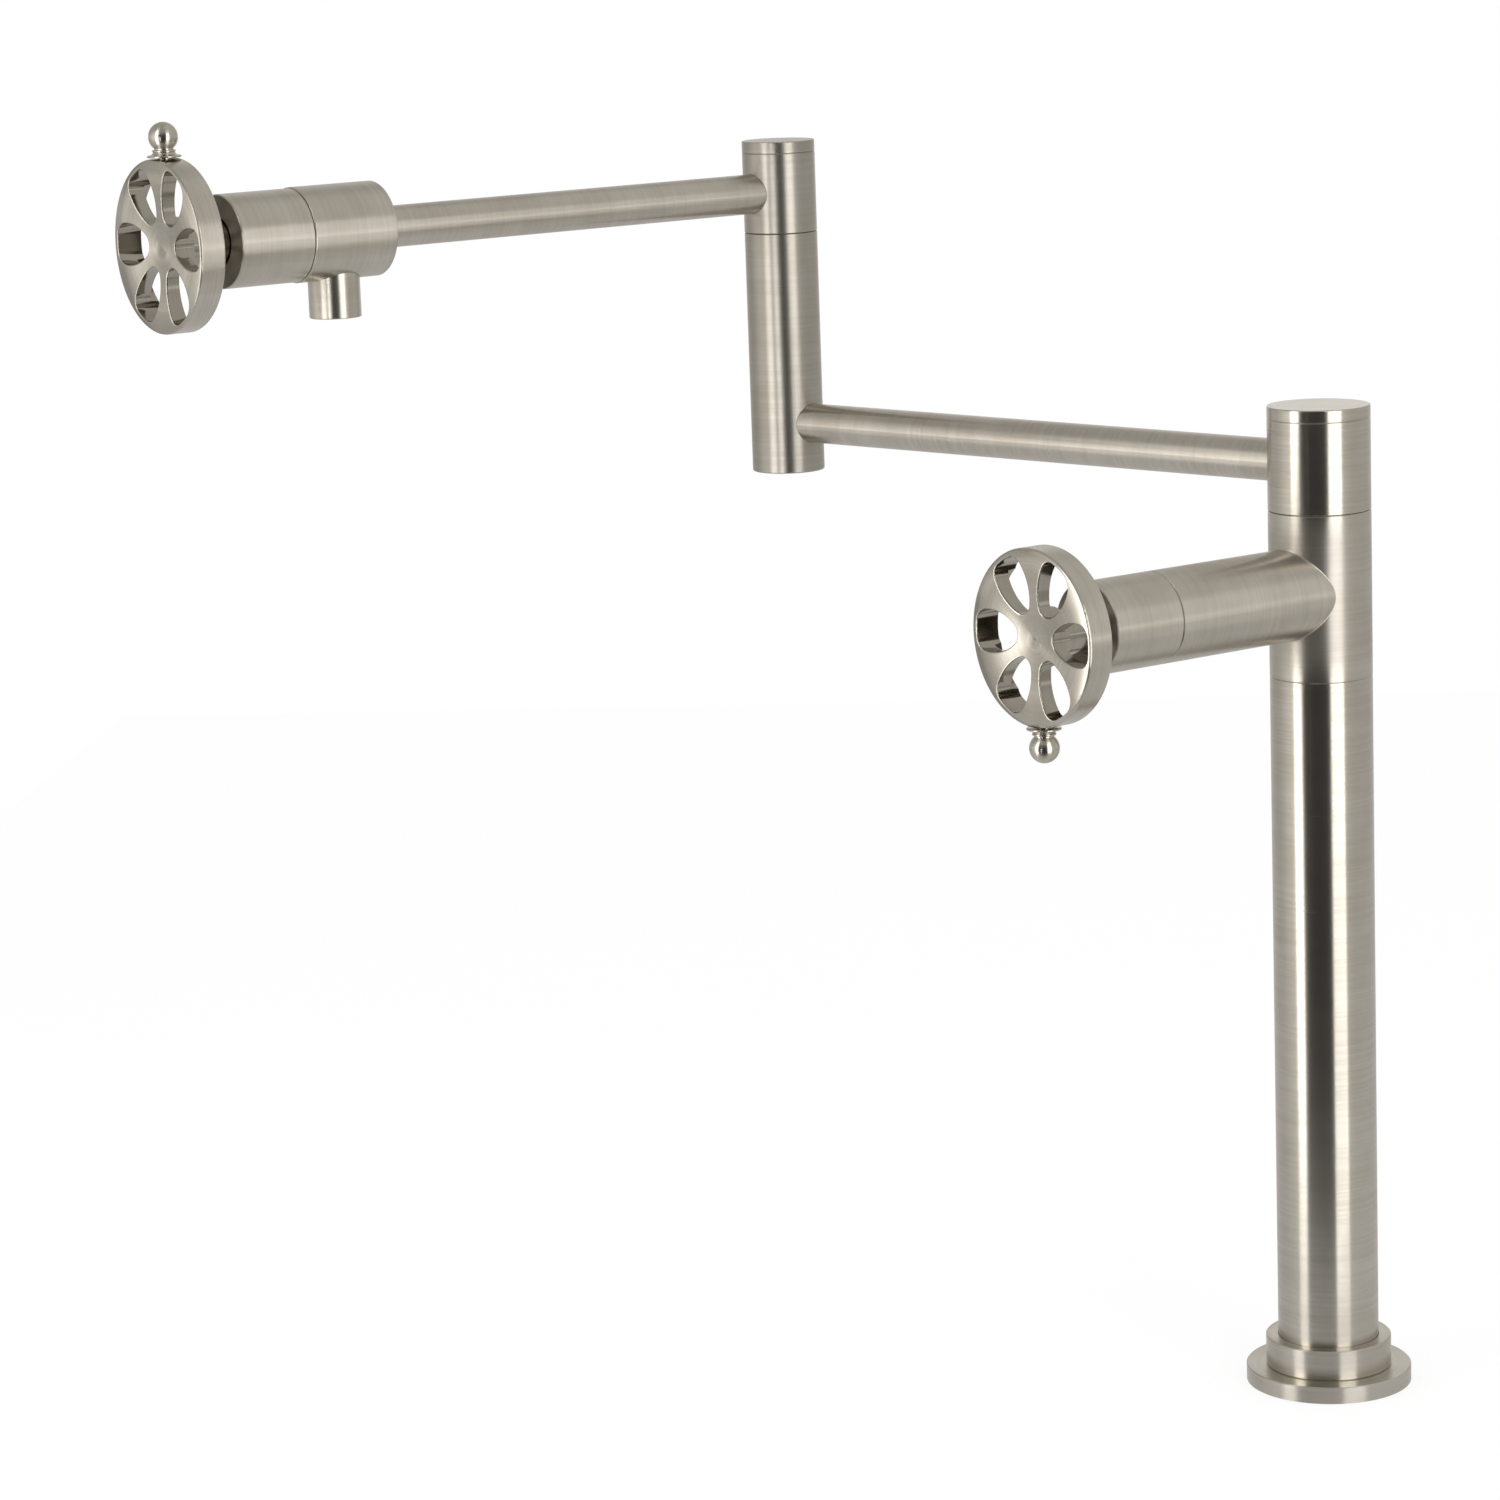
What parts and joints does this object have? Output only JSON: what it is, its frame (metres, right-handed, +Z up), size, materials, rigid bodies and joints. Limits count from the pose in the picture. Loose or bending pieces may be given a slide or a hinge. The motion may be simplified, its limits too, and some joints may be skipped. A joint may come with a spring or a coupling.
{
  "type": "deck mount pot filler",
  "caption": "Deck mount pot filler tap: a column on a round foot, jointed swivelling arms, a down-turned spout and dished handwheel valves with ball finials.",
  "frame": {"origin": "on the column's axis in the plane of the deck, at the mouth of the shank socket", "axes": "+Z up the column; the column's valve branch and, as stored, the upper arm point along -Y; the lower arm lies near -X"},
  "size_m": [0.3283, 0.3657, 0.4922],
  "materials": {
    "brushed_nickel": "fine circumferential brushing, satin",
    "polished_nickel": "polished",
    "brass": "turned, bare",
    "rubber": "moulded, matt",
    "bearing_plastic": "moulded, matt",
    "spring_steel": "dark, plain",
    "ceramic": "lapped ceramic, smooth"
  },
  "bodies": {
    "column": {"base_flange": "brushed_nickel", "base_gasket": "rubber", "base_collar": "brushed_nickel", "shank_adapter": "brass", "riser_tube": "brushed_nickel", "supply_tube": "brass", "valve_body": "brushed_nickel", "column_post": "brass", "column_o_rings": "rubber", "column_washers": "bearing_plastic", "column_retaining_ring": "spring_steel", "column_sleeve": "brushed_nickel", "column_cartridge_housing": "brass", "column_retaining_nut": "brass", "column_fixed_disc": "ceramic", "column_outlet_seal": "rubber"},
    "lower_arm": {"column_swivel_body": "brushed_nickel", "column_cap": "brushed_nickel", "lower_arm_tube": "brushed_nickel", "elbow_lower_body": "brushed_nickel", "elbow_post": "brass", "elbow_o_rings": "rubber", "elbow_washers": "bearing_plastic", "elbow_retaining_ring": "spring_steel"},
    "upper_arm": {"elbow_swivel_body": "brushed_nickel", "elbow_cap": "brushed_nickel", "upper_arm_tube": "brushed_nickel", "spout_body": "brushed_nickel", "spout_outlet": "brushed_nickel", "stream_straightener": "bearing_plastic", "spout_sleeve": "brushed_nickel", "spout_cartridge_housing": "brass", "spout_retaining_nut": "brass", "spout_fixed_disc": "ceramic", "spout_outlet_seal": "rubber"},
    "column_handle": {"column_handwheel": "brushed_nickel", "column_finial": "polished_nickel", "column_set_screw": "spring_steel", "column_stem": "brass", "column_stem_washer": "bearing_plastic", "column_stem_o_ring": "rubber", "column_turning_disc": "ceramic"},
    "spout_handle": {"spout_handwheel": "brushed_nickel", "spout_finial": "polished_nickel", "spout_set_screw": "spring_steel", "spout_stem": "brass", "spout_stem_washer": "bearing_plastic", "spout_stem_o_ring": "rubber", "spout_turning_disc": "ceramic"}
  },
  "joints": [
    {"name": "lower_arm_swivel", "type": "hinge", "parent": "column", "child": "lower_arm", "pos_m": [0, 0, 0.3361], "axis": [0, 0, 1], "continuous": true},
    {"name": "upper_arm_swivel", "type": "hinge", "parent": "lower_arm", "child": "upper_arm", "pos_m": [-0.26395, -0.04583, 0.4305], "axis": [0, 0, 1], "continuous": true},
    {"name": "column_valve_turn", "type": "hinge", "parent": "column", "child": "column_handle", "pos_m": [0, -0.0829, 0.306], "axis": [0, -1, 0], "range_deg": [0, 90]},
    {"name": "spout_valve_turn", "type": "hinge", "parent": "upper_arm", "child": "spout_handle", "pos_m": [-0.26395, -0.27563, 0.4466], "axis": [0, -1, 0], "range_deg": [0, 90]}
  ]
}
